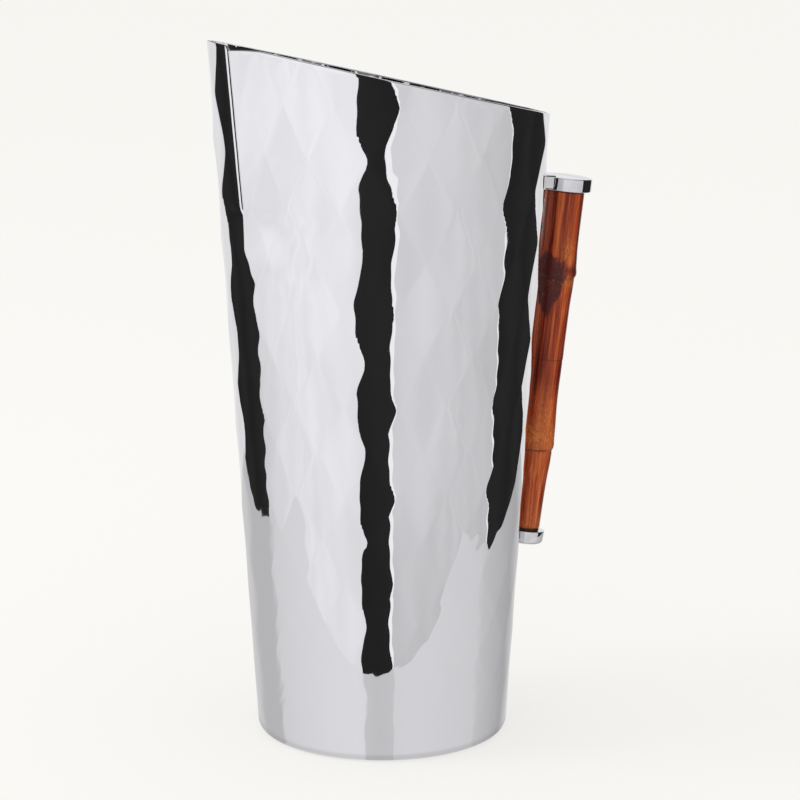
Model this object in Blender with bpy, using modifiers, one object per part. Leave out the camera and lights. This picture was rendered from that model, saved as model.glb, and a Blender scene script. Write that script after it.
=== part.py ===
"""A tall, tapered water pitcher of polished stainless steel with a bamboo handle.

Frame: metres, +Z up. The origin is the centre of the base, on the floor and on the body's
axis. The spout points to -X. The handle stands on the +X side, in the plane Y = 0.

The body is a cone that widens upwards, with a slanted rim that is high at the spout, and a
base plate that is welded flush into its turned-in foot. The handle is a bamboo cane between
polished caps. Each cap is one casting with an arm, which ends on a saddle pad on the
wall. A tie rod runs through the cane, from a blind hole in the upper cap to a nut under the
lower cap.
"""

from math import atan, atan2, cos, exp, pi, radians, sin, sqrt

import bmesh
import bpy

MM = 0.001
OBJECT_NAME = "water_pitcher"

# Gap left between two pieces that touch on the real object.
FIT_GAP = 0.3 * MM

# Body: outer radius = BASE_RADIUS + TAPER * height.
BASE_RADIUS = 45.5 * MM
TAPER = 0.0639
WALL = 1.1 * MM
CORNER_RADIUS = 3.5 * MM
FOOT_RADIUS = 39.5 * MM
RIM_HEIGHT = 240 * MM        # on the axis
RIM_TILT = 0.2494            # drop of the rim per unit of X
BODY_STEPS = 64
WALL_ROWS = 10
CORNER_ROWS = 4

# Spout: a soft ridge below the high side of the rim.
SPOUT_RIDGE = 1.0 * MM       # how far it stands out at the rim
SPOUT_LENGTH = 62 * MM
SPOUT_SPREAD = radians(15)

# Handle axis: it leans out from the lower cap's top face, and heights along it count from there.
HANDLE_FOOT = (62.35 * MM, 0, 65.8 * MM)
HANDLE_LEAN = radians(7.1)
HANDLE_SPAN = 128.2 * MM     # from the lower cap's top face to the upper cap's underside
ROUND_STEPS = 48

# Cane: its radius grows upwards, fastest at the lower end, with a swelling at each node.
CANE_LOW_RADIUS = 4.8 * MM
CANE_HIGH_RADIUS = 7.25 * MM
CANE_GROWTH = 0.8            # exponent of the growth
CANE_LOW_END = 0.75 * MM
CANE_HIGH_END = 127.75 * MM
CANE_ROWS = 30
CANE_NODES = (               # height, swelling, reach of the swelling
    (34 * MM, 0.90 * MM, 11 * MM),
    (64 * MM, 0.10 * MM, 5 * MM),
    (98 * MM, 0.68 * MM, 7 * MM),
)

# Tie rod, an M4 thread, with its nut and washer.
ROD_RADIUS = 2.0 * MM
ROD_HOLE_RADIUS = ROD_RADIUS + FIT_GAP
CANE_BORE_RADIUS = 2.7 * MM
NUT_ACROSS_FLATS = 7.0 * MM
NUT_THICKNESS = 1.9 * MM
WASHER_RADIUS = 4.1 * MM
WASHER_THICKNESS = 0.5 * MM

# Upper cap.
UPPER_RADIUS = 9.6 * MM
UPPER_THICKNESS = 5.8 * MM
UPPER_EDGE = 0.5 * MM
UPPER_ARM_WIDTH = 9.2 * MM
UPPER_ARM_THICKNESS = 5.2 * MM
ROD_HOLE_DEPTH = 3.8 * MM

# Lower cap.
LOWER_RADIUS = 6.9 * MM
LOWER_THICKNESS = 4.9 * MM
LOWER_DRAFT = 0.3 * MM       # how much smaller it is at the bottom
LOWER_EDGE = 1.1 * MM
LOWER_ARM_WIDTH = 6.6 * MM
LOWER_ARM_THICKNESS = 3.6 * MM
COUNTERBORE_RADIUS = 4.5 * MM
COUNTERBORE_DEPTH = 3.3 * MM

# Gaskets between the caps and the cane, each lying in a shallow recess of its cap.
UPPER_GASKET = (7.0 * MM, 0.5 * MM)      # radius, thickness
LOWER_GASKET = (4.6 * MM, 0.55 * MM)
UPPER_RECESS = 0.6 * MM
LOWER_RECESS = 0.4 * MM

# Saddle pads, which follow the wall under the arms.
PAD_THICKNESS = 1.0 * MM
PAD_MARGIN = 2.6 * MM        # how far a pad reaches past its arm
ARM_REACH = 26 * MM          # how far an arm runs before the wall trims it

# Finishes: base colour, roughness, metallic.
POLISHED_STEEL = ((0.82, 0.82, 0.83), 0.04, 1.0)
PLAIN_STEEL = ((0.60, 0.60, 0.61), 0.28, 1.0)
BAMBOO = ((0.32, 0.085, 0.030), 0.22, 0.0)
BLACK_FIBRE = ((0.015, 0.015, 0.015), 0.60, 0.0)


def start_collections():
    """Removes the scene's objects and returns the collections for the parts and the cutters."""
    for old in list(bpy.data.objects):
        bpy.data.objects.remove(old)
    collections = []
    for name in (OBJECT_NAME, OBJECT_NAME + "_cutters"):
        collection = bpy.data.collections.new(name)
        bpy.context.scene.collection.children.link(collection)
        collections.append(collection)
    return collections


PARTS, CUTTERS = start_collections()


def finish_part(obj, finish, parent=None):
    """Puts obj among the parts, gives it a material of its own and parents it."""
    PARTS.objects.link(obj)
    colour, roughness, metallic = finish
    material = bpy.data.materials.new(obj.name + "_finish")
    material.use_nodes = True
    shader = material.node_tree.nodes["Principled BSDF"]
    shader.inputs["Base Color"].default_value = (*colour, 1)
    shader.inputs["Roughness"].default_value = roughness
    shader.inputs["Metallic"].default_value = metallic
    obj.data.materials.append(material)
    obj.parent = parent
    return obj


def finish_cutter(obj, parent=None):
    """Puts obj among the cutters, which aren't part of the pitcher."""
    CUTTERS.objects.link(obj)
    obj.hide_render = True
    obj.display_type = "WIRE"
    obj.parent = parent
    return obj


def box(name, low, high):
    """A box from its lowest to its highest corner."""
    bm = bmesh.new()
    bmesh.ops.create_cube(bm, size=1)
    for vertex in bm.verts:
        vertex.co = [a + (t + 0.5) * (b - a) for a, b, t in zip(low, high, vertex.co)]
    mesh = bpy.data.meshes.new(name)
    bm.to_mesh(mesh)
    bm.free()
    return bpy.data.objects.new(name, mesh)


def cylinder(name, radius, bottom, top, sides=ROUND_STEPS):
    """A closed cylinder, or a prism with few sides, about the local Z axis."""
    bm = bmesh.new()
    bmesh.ops.create_cone(
        bm, cap_ends=True, segments=sides, radius1=radius, radius2=radius, depth=top - bottom
    )
    bmesh.ops.translate(bm, verts=bm.verts, vec=(0, 0, (top + bottom) / 2))
    mesh = bpy.data.meshes.new(name)
    bm.to_mesh(mesh)
    bm.free()
    return bpy.data.objects.new(name, mesh)


def turned(name, profile, ring=False, steps=ROUND_STEPS):
    """Turns a profile of (radius, height) points about the local Z axis with a Screw modifier.

    The profile runs down its outer side. A ring's profile closes on itself.
    """
    count = len(profile)
    edges = [(i, i + 1) for i in range(count - 1)]
    if ring:
        edges.append((count - 1, 0))
    mesh = bpy.data.meshes.new(name)
    mesh.from_pydata([(radius, 0, height) for radius, height in profile], edges, [])
    obj = bpy.data.objects.new(name, mesh)
    screw = obj.modifiers.new("turn", "SCREW")
    screw.axis = "Z"
    screw.angle = 2 * pi
    screw.steps = steps
    screw.render_steps = steps
    screw.use_merge_vertices = True
    screw.merge_threshold = 0.00001
    return obj


def boolean(obj, operation, other):
    """Joins, cuts or intersects obj with another object."""
    modifier = obj.modifiers.new(other.name, "BOOLEAN")
    modifier.operation = operation
    modifier.solver = "EXACT"
    modifier.object = other


def arc(centre, radius, start, end, segments):
    """Points on an arc, from the start angle to the end angle."""
    return [
        (centre[0] + radius * cos(angle), centre[1] + radius * sin(angle))
        for angle in (start + (end - start) * i / segments for i in range(segments + 1))
    ]


def wall_radius(height, offset=0.0):
    """The body's outer radius at a height, or that of a cone at an offset outside it."""
    return BASE_RADIUS + TAPER * height + offset


def rim_height(angle):
    """The height at which the slanted rim's plane cuts the cone, at an angle from +X."""
    slope = RIM_TILT * cos(angle)
    return (RIM_HEIGHT - slope * BASE_RADIUS) / (1 + slope * TAPER)


def spout_ridge(angle, height):
    """How far the wall stands out near the spout."""
    from_spout = abs(atan2(sin(angle), -cos(angle)))
    across = max(0.0, 1 - from_spout / SPOUT_SPREAD)
    along = max(0.0, 1 - (rim_height(pi) - height) / SPOUT_LENGTH)
    return SPOUT_RIDGE * across * sqrt(along)


def body_profile():
    """The outer line of the body, from a level rim down to the foot's inner edge."""
    lean = atan(TAPER)
    centre = (wall_radius(CORNER_RADIUS) - CORNER_RADIUS / cos(lean), CORNER_RADIUS)
    corner = arc(centre, CORNER_RADIUS, -lean, -pi / 2, CORNER_ROWS)
    low = corner[0][1]
    heights = [RIM_HEIGHT + (low - RIM_HEIGHT) * i / WALL_ROWS for i in range(WALL_ROWS)]
    return [(wall_radius(z), z) for z in heights] + corner + [(FOOT_RADIUS, 0)]


def make_body_shell():
    """The wall: a turned cone, drawn to the slanted rim and the spout, then thickened inwards."""
    guide = turned("body_guide", body_profile(), steps=BODY_STEPS)
    CUTTERS.objects.link(guide)
    evaluated = guide.evaluated_get(bpy.context.evaluated_depsgraph_get())
    mesh = bpy.data.meshes.new_from_object(evaluated)
    bpy.data.objects.remove(guide)
    for vertex in mesh.vertices:
        x, y, z = vertex.co
        if z < CORNER_RADIUS:
            continue
        angle = atan2(y, x)
        share = (z - CORNER_RADIUS) / (RIM_HEIGHT - CORNER_RADIUS)
        height = CORNER_RADIUS + share * (rim_height(angle) - CORNER_RADIUS)
        radius = wall_radius(height) + spout_ridge(angle, height)
        vertex.co = (radius * cos(angle), radius * sin(angle), height)
    mesh.name = "body_shell"
    mesh.shade_smooth()
    obj = bpy.data.objects.new("body_shell", mesh)
    solidify = obj.modifiers.new("wall", "SOLIDIFY")
    solidify.thickness = WALL
    solidify.offset = -1
    solidify.use_even_offset = True
    return finish_part(obj, POLISHED_STEEL)


def make_base_plate():
    """The flat disc that closes the bottom, flush with the foot."""
    plate = cylinder("base_plate", FOOT_RADIUS - FIT_GAP, 0, WALL, BODY_STEPS)
    return finish_part(plate, POLISHED_STEEL)


def make_handle_axis():
    """The empty that carries the handle's pieces: its Z axis is the cane's axis."""
    axis = bpy.data.objects.new("handle_axis", None)
    axis.location = HANDLE_FOOT
    axis.rotation_euler = (0, HANDLE_LEAN, 0)
    PARTS.objects.link(axis)
    return axis


def wall_layer(name, inner, outer):
    """A cutter: the layer between two offsets outside the wall, or a full cone if inner is None."""
    low, high = (z * RIM_HEIGHT for z in (0.1, 0.95))
    outside = [(wall_radius(high, outer), high), (wall_radius(low, outer), low)]
    if inner is None:
        return finish_cutter(turned(name, [(0, high)] + outside + [(0, low)], steps=BODY_STEPS * 2))
    inside = [(wall_radius(low, inner), low), (wall_radius(high, inner), high)]
    return finish_cutter(turned(name, outside + inside, ring=True, steps=BODY_STEPS * 2))


def upper_cap_profile():
    """A disc with rounded edges, with a gasket recess and a blind rod hole in its underside."""
    top = HANDLE_SPAN + UPPER_THICKNESS
    bottom = HANDLE_SPAN
    inset = UPPER_RADIUS - UPPER_EDGE
    recess = bottom + UPPER_RECESS
    recess_radius = UPPER_GASKET[0] + FIT_GAP
    hole_end = bottom + ROD_HOLE_DEPTH
    return (
        [(0, top)]
        + arc((inset, top - UPPER_EDGE), UPPER_EDGE, pi / 2, 0, 3)
        + arc((inset, bottom + UPPER_EDGE), UPPER_EDGE, 0, -pi / 2, 3)
        + [(recess_radius, bottom), (recess_radius, recess), (ROD_HOLE_RADIUS, recess)]
        + [(ROD_HOLE_RADIUS, hole_end), (0, hole_end)]
    )


def lower_cap_profile():
    """A cup shape with a rounded lower edge, a gasket recess above and a counterbore below."""
    bottom = -LOWER_THICKNESS
    ceiling = bottom + COUNTERBORE_DEPTH
    recess_radius = LOWER_GASKET[0] + FIT_GAP
    edge = (LOWER_RADIUS - LOWER_DRAFT - LOWER_EDGE, bottom + LOWER_EDGE)
    return (
        [(recess_radius, 0), (LOWER_RADIUS, 0)]
        + arc(edge, LOWER_EDGE, 0, -pi / 2, 4)
        + [(COUNTERBORE_RADIUS, bottom), (COUNTERBORE_RADIUS, ceiling), (ROD_HOLE_RADIUS, ceiling)]
        + [(ROD_HOLE_RADIUS, -LOWER_RECESS), (recess_radius, -LOWER_RECESS)]
    )


def arm_start(cap_radius, width):
    """How far from the axis an arm starts, so that its whole end lies inside the cap's edge."""
    return sqrt((cap_radius - 0.4 * MM) ** 2 - (width / 2) ** 2)


def make_bracket(name, cap, start, width, thickness, middle, clearance, axis):
    """A cap and its arm in one casting. The arm runs to the wall, where the clearance trims it."""
    low = (-ARM_REACH, -width / 2, middle - thickness / 2)
    high = (-start, width / 2, middle + thickness / 2)
    arm = box(name + "_arm", low, high)
    bevel = arm.modifiers.new("edges", "BEVEL")
    bevel.width = 0.5 * MM
    bevel.segments = 2
    finish_cutter(arm, axis)
    boolean(cap, "UNION", arm)
    boolean(cap, "DIFFERENCE", clearance)
    return finish_part(cap, POLISHED_STEEL, axis)


def make_pad(name, width, thickness, middle, layer, axis):
    """A saddle pad: a stadium-shaped plug along the arm, kept only inside the layer on the wall."""
    radius = thickness / 2 + PAD_MARGIN
    side = width / 2 - thickness / 2
    pad = cylinder(name, radius, 0, ARM_REACH)
    for vertex in pad.data.vertices:
        x, y, z = vertex.co
        spread = side if y > 0 else -side
        vertex.co = (-z, y + spread, middle + x)
    boolean(pad, "INTERSECT", layer)
    return finish_part(pad, POLISHED_STEEL, axis)


def cane_radius(height):
    """The cane's radius at a height on the handle axis."""
    share = (height / HANDLE_SPAN) ** CANE_GROWTH
    swelling = sum(
        amount * exp(-(((height - place) / reach) ** 2)) for place, amount, reach in CANE_NODES
    )
    return CANE_LOW_RADIUS + (CANE_HIGH_RADIUS - CANE_LOW_RADIUS) * share + swelling


def make_bamboo_grip(axis):
    """The cane, bored through for the tie rod."""
    heights = [
        CANE_HIGH_END + (CANE_LOW_END - CANE_HIGH_END) * i / CANE_ROWS
        for i in range(CANE_ROWS + 1)
    ]
    outside = [(cane_radius(height), height) for height in heights]
    bore = [(CANE_BORE_RADIUS, CANE_LOW_END), (CANE_BORE_RADIUS, CANE_HIGH_END)]
    return finish_part(turned("bamboo_grip", outside + bore, ring=True, steps=32), BAMBOO, axis)


def make_ring(name, inner, outer, bottom, thickness, finish, axis):
    """A flat ring: a gasket or a washer."""
    top = bottom + thickness
    profile = [(outer, top), (outer, bottom), (inner, bottom), (inner, top)]
    return finish_part(turned(name, profile, ring=True, steps=32), finish, axis)


def make_fastening(axis):
    """The tie rod, the washer and the nut that clamp the cane between its caps."""
    ceiling = COUNTERBORE_DEPTH - LOWER_THICKNESS
    washer_bottom = ceiling - FIT_GAP - WASHER_THICKNESS
    nut_top = washer_bottom - FIT_GAP
    nut_bottom = nut_top - NUT_THICKNESS
    rod_top = HANDLE_SPAN + ROD_HOLE_DEPTH - FIT_GAP
    finish_part(cylinder("tie_rod", ROD_RADIUS, nut_bottom, rod_top, 24), PLAIN_STEEL, axis)
    make_ring(
        "rod_washer", ROD_HOLE_RADIUS, WASHER_RADIUS, washer_bottom, WASHER_THICKNESS,
        PLAIN_STEEL, axis,
    )
    nut = cylinder("rod_nut", NUT_ACROSS_FLATS / 2 / cos(pi / 6), nut_bottom, nut_top, 6)
    thread = cylinder("rod_nut_thread", ROD_HOLE_RADIUS, nut_bottom - MM, nut_top + MM, 24)
    boolean(nut, "DIFFERENCE", finish_cutter(thread, axis))
    finish_part(nut, PLAIN_STEEL, axis)


def make_gaskets(axis):
    """The black gaskets at the cane's two ends."""
    radius, thickness = UPPER_GASKET
    floor = HANDLE_SPAN + UPPER_RECESS - FIT_GAP - thickness
    make_ring("upper_gasket", CANE_BORE_RADIUS, radius, floor, thickness, BLACK_FIBRE, axis)
    radius, thickness = LOWER_GASKET
    floor = FIT_GAP - LOWER_RECESS
    make_ring("lower_gasket", CANE_BORE_RADIUS, radius, floor, thickness, BLACK_FIBRE, axis)


def make_handle():
    """The caps with their arms and pads, the cane, and what clamps them."""
    axis = make_handle_axis()
    layer = wall_layer("pad_layer", FIT_GAP, FIT_GAP + PAD_THICKNESS)
    clearance = wall_layer("arm_clearance", None, PAD_THICKNESS + 2 * FIT_GAP)
    ends = (
        ("upper", upper_cap_profile(), False, UPPER_RADIUS, UPPER_ARM_WIDTH,
         UPPER_ARM_THICKNESS, HANDLE_SPAN + UPPER_THICKNESS / 2),
        ("lower", lower_cap_profile(), True, LOWER_RADIUS, LOWER_ARM_WIDTH,
         LOWER_ARM_THICKNESS, -LOWER_THICKNESS / 2 + LOWER_DRAFT),
    )
    for end, profile, ring, radius, width, thickness, middle in ends:
        cap = turned(end + "_bracket", profile, ring)
        start = arm_start(radius, width)
        make_bracket(cap.name, cap, start, width, thickness, middle, clearance, axis)
        make_pad(end + "_pad", width, thickness, middle, layer, axis)
    make_bamboo_grip(axis)
    make_gaskets(axis)
    make_fastening(axis)


make_body_shell()
make_base_plate()
make_handle()
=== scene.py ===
from math import asin, atan, atan2, cos, pi, radians, sin, sqrt, tan

import bmesh
import bpy
import numpy as np
from mathutils import Matrix, Vector


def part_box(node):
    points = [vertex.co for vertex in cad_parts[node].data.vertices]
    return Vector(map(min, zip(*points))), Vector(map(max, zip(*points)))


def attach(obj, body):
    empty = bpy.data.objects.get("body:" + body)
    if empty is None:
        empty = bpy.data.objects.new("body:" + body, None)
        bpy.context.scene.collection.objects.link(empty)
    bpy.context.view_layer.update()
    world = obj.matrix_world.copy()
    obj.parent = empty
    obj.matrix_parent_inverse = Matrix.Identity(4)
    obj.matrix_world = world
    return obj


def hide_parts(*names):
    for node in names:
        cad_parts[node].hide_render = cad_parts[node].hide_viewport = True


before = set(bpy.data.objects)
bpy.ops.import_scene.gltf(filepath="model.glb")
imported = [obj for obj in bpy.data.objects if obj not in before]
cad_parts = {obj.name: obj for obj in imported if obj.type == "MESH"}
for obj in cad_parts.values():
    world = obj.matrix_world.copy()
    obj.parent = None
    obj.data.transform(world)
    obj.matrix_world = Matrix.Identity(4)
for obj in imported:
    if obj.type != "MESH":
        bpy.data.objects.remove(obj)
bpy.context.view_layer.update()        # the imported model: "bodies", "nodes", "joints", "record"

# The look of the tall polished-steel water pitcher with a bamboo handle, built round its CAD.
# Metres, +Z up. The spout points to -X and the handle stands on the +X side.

MM = 0.001
SCENE = bpy.context.scene


# ---- Measures of the CAD model ----

def points_of(node):
    """A CAD node's vertices as an array."""
    return np.array([tuple(vertex.co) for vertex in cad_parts[node].data.vertices])


def measure_body():
    """Base radius, taper, lean, rim height, rim tilt, corner radius, foot radius and wall."""
    shell = points_of("body_shell")
    side = shell[(abs(shell[:, 0]) < 0.01 * MM) & (shell[:, 1] > 0)]
    back = shell[(abs(shell[:, 1]) < 0.01 * MM) & (shell[:, 0] > 0)]
    foot = shell[shell[:, 2] < 0.01 * MM]
    corner = side[side[:, 2] < 5 * MM]
    high = side[side[:, 1].argmax()]
    low = corner[corner[:, 1].argmax()]
    back_high = back[back[:, 0].argmax()]
    taper = (high[1] - low[1]) / (high[2] - low[2])
    lean = atan(taper)
    return {
        "taper": taper,
        "lean": lean,
        "base_radius": low[1] - taper * low[2],
        "rim_height": high[2],
        "rim_tilt": (high[2] - back_high[2]) / back_high[0],
        "corner_radius": low[2] / (1 - sin(lean)),
        "foot_radius": np.hypot(foot[:, 0], foot[:, 1]).min(),
        "wall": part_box("base_plate")[1].z,
    }


BODY = measure_body()


def wall_radius(height):
    """The body's outer radius at a height, without its relief."""
    return BODY["base_radius"] + BODY["taper"] * height


def measure_handle():
    """The handle's own frame: its Z axis is the rod's axis, and Z = 0 is the lower cap's top."""
    rod = points_of("tie_rod")
    low = rod[rod[:, 2] < rod[:, 2].min() + 4 * MM].mean(axis=0)
    high = rod[rod[:, 2] > rod[:, 2].max() - 4 * MM].mean(axis=0)
    up = Vector(high - low).normalized()
    up.y = 0
    up.normalize()
    out = Vector((0, 1, 0)).cross(up)
    top = ((points_of("lower_bracket") - low) @ np.array(up)).max()
    origin = Vector(low) + up * top
    rotation = Matrix((out, (0, 1, 0), up)).transposed().to_4x4()
    return Matrix.Translation((origin.x, 0, origin.z)) @ rotation


HANDLE = measure_handle()


def in_handle(node):
    """A CAD node's vertices in the handle's frame."""
    inverse = np.array(HANDLE.inverted())
    return points_of(node) @ inverse[:3, :3].T + inverse[:3, 3]


def span(node):
    """A turned node's inner and outer radius, and its lowest and highest point, on the handle."""
    points = in_handle(node)
    radii = np.hypot(points[:, 0], points[:, 1])
    return radii.min(), radii.max(), points[:, 2].min(), points[:, 2].max()


# ---- Materials ----

class Nodes:
    """A material's node tree, with short ways to add and join nodes."""

    def __init__(self, name, bare=False):
        self.material = bpy.data.materials.new(name)
        self.material.use_nodes = True
        self.tree = self.material.node_tree
        if bare:
            self.tree.nodes.clear()
        self.shader = self.tree.nodes.get("Principled BSDF")

    def add(self, kind, inputs=None, **settings):
        """Adds a node. An input is a number or tuple, or an output socket to link from."""
        node = self.tree.nodes.new(kind)
        for key, value in settings.items():
            setattr(node, key, value)
        for key, value in (inputs or {}).items():
            self.set(node.inputs[key], value)
        return node

    def set(self, socket, value):
        """Sets or links one input."""
        if isinstance(value, bpy.types.NodeSocket):
            self.tree.links.new(value, socket)
        else:
            socket.default_value = value

    def noise(self, scale, detail=2.0, roughness=0.5, distortion=0.0):
        """A noise from 0 to 1 in object coordinates, with features of about 1/scale metres."""
        place = self.add("ShaderNodeTexCoord").outputs["Object"]
        node = self.add("ShaderNodeTexNoise", {
            "Vector": self.add("ShaderNodeMapping", {0: place, "Scale": scale}).outputs[0],
            "Scale": 1.0, "Detail": detail, "Roughness": roughness, "Distortion": distortion,
        })
        return node.outputs["Fac"]

    def spread(self, value, low, high, to_low=0.0, to_high=1.0):
        """Maps a value's range low..high onto another range, smoothly and clamped."""
        node = self.add("ShaderNodeMapRange", {
            "Value": value, "From Min": low, "From Max": high,
            "To Min": to_low, "To Max": to_high,
        }, interpolation_type="SMOOTHSTEP")
        return node.outputs["Result"]

    def math(self, operation, a, b=0.0):
        """One arithmetic step."""
        return self.add("ShaderNodeMath", {0: a, 1: b}, operation=operation).outputs[0]

    def mix(self, share, a, b):
        """Mixes two colours."""
        node = self.add("ShaderNodeMix", {"Factor": share, "A": a, "B": b}, data_type="RGBA")
        return node.outputs["Result"]

    def attribute(self, name):
        """A float that the mesh holds at each vertex."""
        return self.add("ShaderNodeAttribute", attribute_name=name).outputs["Fac"]

    def bump(self, height, distance):
        """Bump from a height, joined to the shader."""
        node = self.add("ShaderNodeBump", {"Height": height, "Distance": distance, "Strength": 1.0})
        self.set(self.shader.inputs["Normal"], node.outputs[0])

    def finish(self, colour, roughness, metallic=0.0):
        """Sets the shader's colour, roughness and metal, and returns the material."""
        self.set(self.shader.inputs["Base Color"], colour)
        self.set(self.shader.inputs["Roughness"], roughness)
        self.shader.inputs["Metallic"].default_value = metallic
        return self.material

    def output(self, shader):
        """Joins a shader of one's own to an output, and returns the material."""
        self.add("ShaderNodeOutputMaterial", {"Surface": shader})
        return self.material


def polished_steel():
    """Mirror-bright steel with faint polishing haze and hairlines."""
    made = Nodes("polished_steel_look")
    haze = made.noise((35, 35, 35), detail=3)
    hairs = made.noise((900, 900, 60), detail=2)
    tone = made.mix(haze, (0.718, 0.712, 0.742, 1), (0.738, 0.732, 0.760, 1))
    rough = made.math("ADD", made.spread(haze, 0.35, 0.75, 0.012, 0.035),
                      made.spread(hairs, 0.5, 0.8, 0.0, 0.012))
    return made.finish(tone, rough, metallic=1.0)


def turned_steel():
    """Machined steel for the rod, its washer and its nut: satin, with fine turning lines."""
    made = Nodes("turned_steel_look")
    lines = made.noise((80, 80, 4500), detail=2)
    haze = made.noise((300, 300, 300), detail=3)
    tone = made.mix(haze, (0.50, 0.50, 0.51, 1), (0.64, 0.64, 0.65, 1))
    made.bump(lines, 0.03 * MM)
    return made.finish(tone, made.spread(lines, 0.3, 0.7, 0.22, 0.38), metallic=1.0)


def spun_steel():
    """The base plate: polished, with faint concentric lines from the spinning lathe."""
    made = Nodes("spun_steel_look")
    coordinates = made.add("ShaderNodeTexCoord").outputs["Object"]
    flat = made.add("ShaderNodeVectorMath", {0: coordinates, 1: (1, 1, 0)}, operation="MULTIPLY")
    radius = made.add("ShaderNodeVectorMath", {0: flat.outputs[0]}, operation="LENGTH")
    rings = made.add("ShaderNodeTexNoise", {
        "W": made.math("MULTIPLY", radius.outputs["Value"], 1800.0), "Scale": 1.0, "Detail": 3.0,
    }, noise_dimensions="1D").outputs["Fac"]
    haze = made.noise((60, 60, 60), detail=3)
    tone = made.mix(haze, (0.66, 0.665, 0.68, 1), (0.73, 0.735, 0.745, 1))
    made.bump(rings, 0.02 * MM)
    return made.finish(tone, made.spread(rings, 0.3, 0.7, 0.08, 0.2), metallic=1.0)


def black_fibre():
    """Dull black gasket fibre."""
    made = Nodes("black_fibre_look")
    grain = made.noise((2500, 2500, 2500), detail=3)
    tone = made.mix(grain, (0.006, 0.006, 0.006, 1), (0.022, 0.021, 0.020, 1))
    made.bump(grain, 0.05 * MM)
    return made.finish(tone, made.spread(grain, 0.2, 0.8, 0.5, 0.75))


def lacquered_bamboo():
    """Red-brown stained bamboo under lacquer: long fibres, dark stains, and paler nodes that are partly
    worn skin and partly painted highlight.
    """
    made = Nodes("lacquered_bamboo_look")
    streak, stain, scar, glow = map(made.attribute, ("streak", "stain", "scar", "glow"))
    fibre = made.noise((1500, 1500, 35), detail=3, roughness=0.6)
    band = made.noise((420, 420, 9), detail=2)
    speck = made.noise((1400, 1400, 700), detail=3, roughness=0.6)
    tone = made.math("ADD", streak, made.math("MULTIPLY", made.math("SUBTRACT", band, 0.5), 0.9))
    tone = made.math("ADD", tone, made.math("MULTIPLY", made.math("SUBTRACT", fibre, 0.5), 1.6))
    ramp = made.add("ShaderNodeValToRGB", {"Fac": tone})
    stops = ramp.color_ramp.elements
    stops[0].position = 0.05
    stops[0].color = (0.095, 0.0090, 0.0045, 1)
    stops[1].position = 0.95
    stops[1].color = (0.60, 0.150, 0.034, 1)
    stops.new(0.32).color = (0.225, 0.028, 0.0095, 1)
    stops.new(0.62).color = (0.40, 0.068, 0.017, 1)
    orange = made.mix(made.spread(speck, 0.4, 0.65), (0.38, 0.085, 0.020, 1), (0.62, 0.20, 0.050, 1))
    # Painted highlight mixed with worn skin: the glow mask lightens the wood towards orange.
    wood = made.mix(made.math("MULTIPLY", glow, 0.75), ramp.outputs["Color"], orange)
    cloud = made.noise((260, 260, 160), detail=4, roughness=0.65)
    blot = made.math("MULTIPLY", stain, made.spread(cloud, 0.2, 0.5, 0.72, 1.0))
    scratch = made.spread(made.noise((1500, 1500, 600), detail=2, distortion=1.8), 0.60, 0.66)
    blot = made.math("MULTIPLY", blot, made.math("SUBTRACT", 1.0, made.math("MULTIPLY", scratch, 0.7)))
    wood = made.mix(blot, wood, (0.074, 0.0135, 0.0120, 1))
    wood = made.mix(scar, wood, (0.045, 0.010, 0.008, 1))
    made.shader.inputs["Coat Weight"].default_value = 0.08
    made.shader.inputs["Coat Roughness"].default_value = 0.12
    made.shader.inputs["Specular IOR Level"].default_value = 0.16
    relief = made.math("ADD", fibre, made.math("MULTIPLY", speck, made.math("MULTIPLY", glow, 1.5)))
    made.bump(relief, 0.06 * MM)
    return made.finish(wood, made.spread(speck, 0.3, 0.7, 0.20, 0.34))


STEEL = polished_steel()
TURNED = turned_steel()
SPUN = spun_steel()
FIBRE = black_fibre()
BAMBOO = lacquered_bamboo()


# ---- Mesh helpers ----

def add_object(name, data):
    """A new object in the scene."""
    obj = bpy.data.objects.new(name, data)
    SCENE.collection.objects.link(obj)
    return obj


def make_piece(name, points, faces, material, crisp=50, place=None):
    """A mesh object with smooth shading, and sharp edges only where faces turn by crisp degrees."""
    mesh = bpy.data.meshes.new(name)
    mesh.from_pydata([tuple(map(float, point)) for point in points], [], faces)
    mesh.materials.append(material)
    mesh.validate()
    mesh.shade_smooth()
    mesh.set_sharp_from_angle(angle=radians(crisp))
    obj = add_object(name, mesh)
    if place is not None:
        obj.matrix_world = place
    return obj


def hand_in(obj, slot, *nodes):
    """Rides a finished piece on the body, and hides the nodes it stands for. The slot argument, its
    finish, is not used.
    """
    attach(obj, "root")
    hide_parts(*nodes)


def bridge(lower, upper, closed=True):
    """Faces between two rings of vertex numbers. Doubled corners make triangles or nothing."""
    faces = []
    count = len(lower)
    for i in range(count if closed else count - 1):
        j = (i + 1) % count
        corners = []
        for corner in (lower[i], lower[j], upper[j], upper[i]):
            if corner not in corners:
                corners.append(int(corner))
        if len(corners) > 2:
            faces.append(corners)
    return faces


def skin(rings, closed=False):
    """Faces between neighbouring rings, and from the last back to the first if closed."""
    following = rings[1:] + rings[:1] if closed else rings[1:]
    return [face for low, high in zip(rings, following) for face in bridge(low, high)]


def arc(centre, radius, start, end, steps):
    """Points on an arc, with angles in degrees."""
    angles = [radians(start + (end - start) * i / steps) for i in range(steps + 1)]
    return [(centre[0] + radius * cos(a), centre[1] + radius * sin(a)) for a in angles]


def rounded_outline(low, high, edge, steps):
    """A rectangle between two corner points, with its corners rounded."""
    left, right, bottom, top = low[0] + edge, high[0] - edge, low[1] + edge, high[1] - edge
    centres = ((right, top), (left, top), (left, bottom), (right, bottom))
    return [
        point for i, centre in enumerate(centres)
        for point in arc(centre, edge, 90 * i, 90 * i + 90, steps)
    ]


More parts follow.
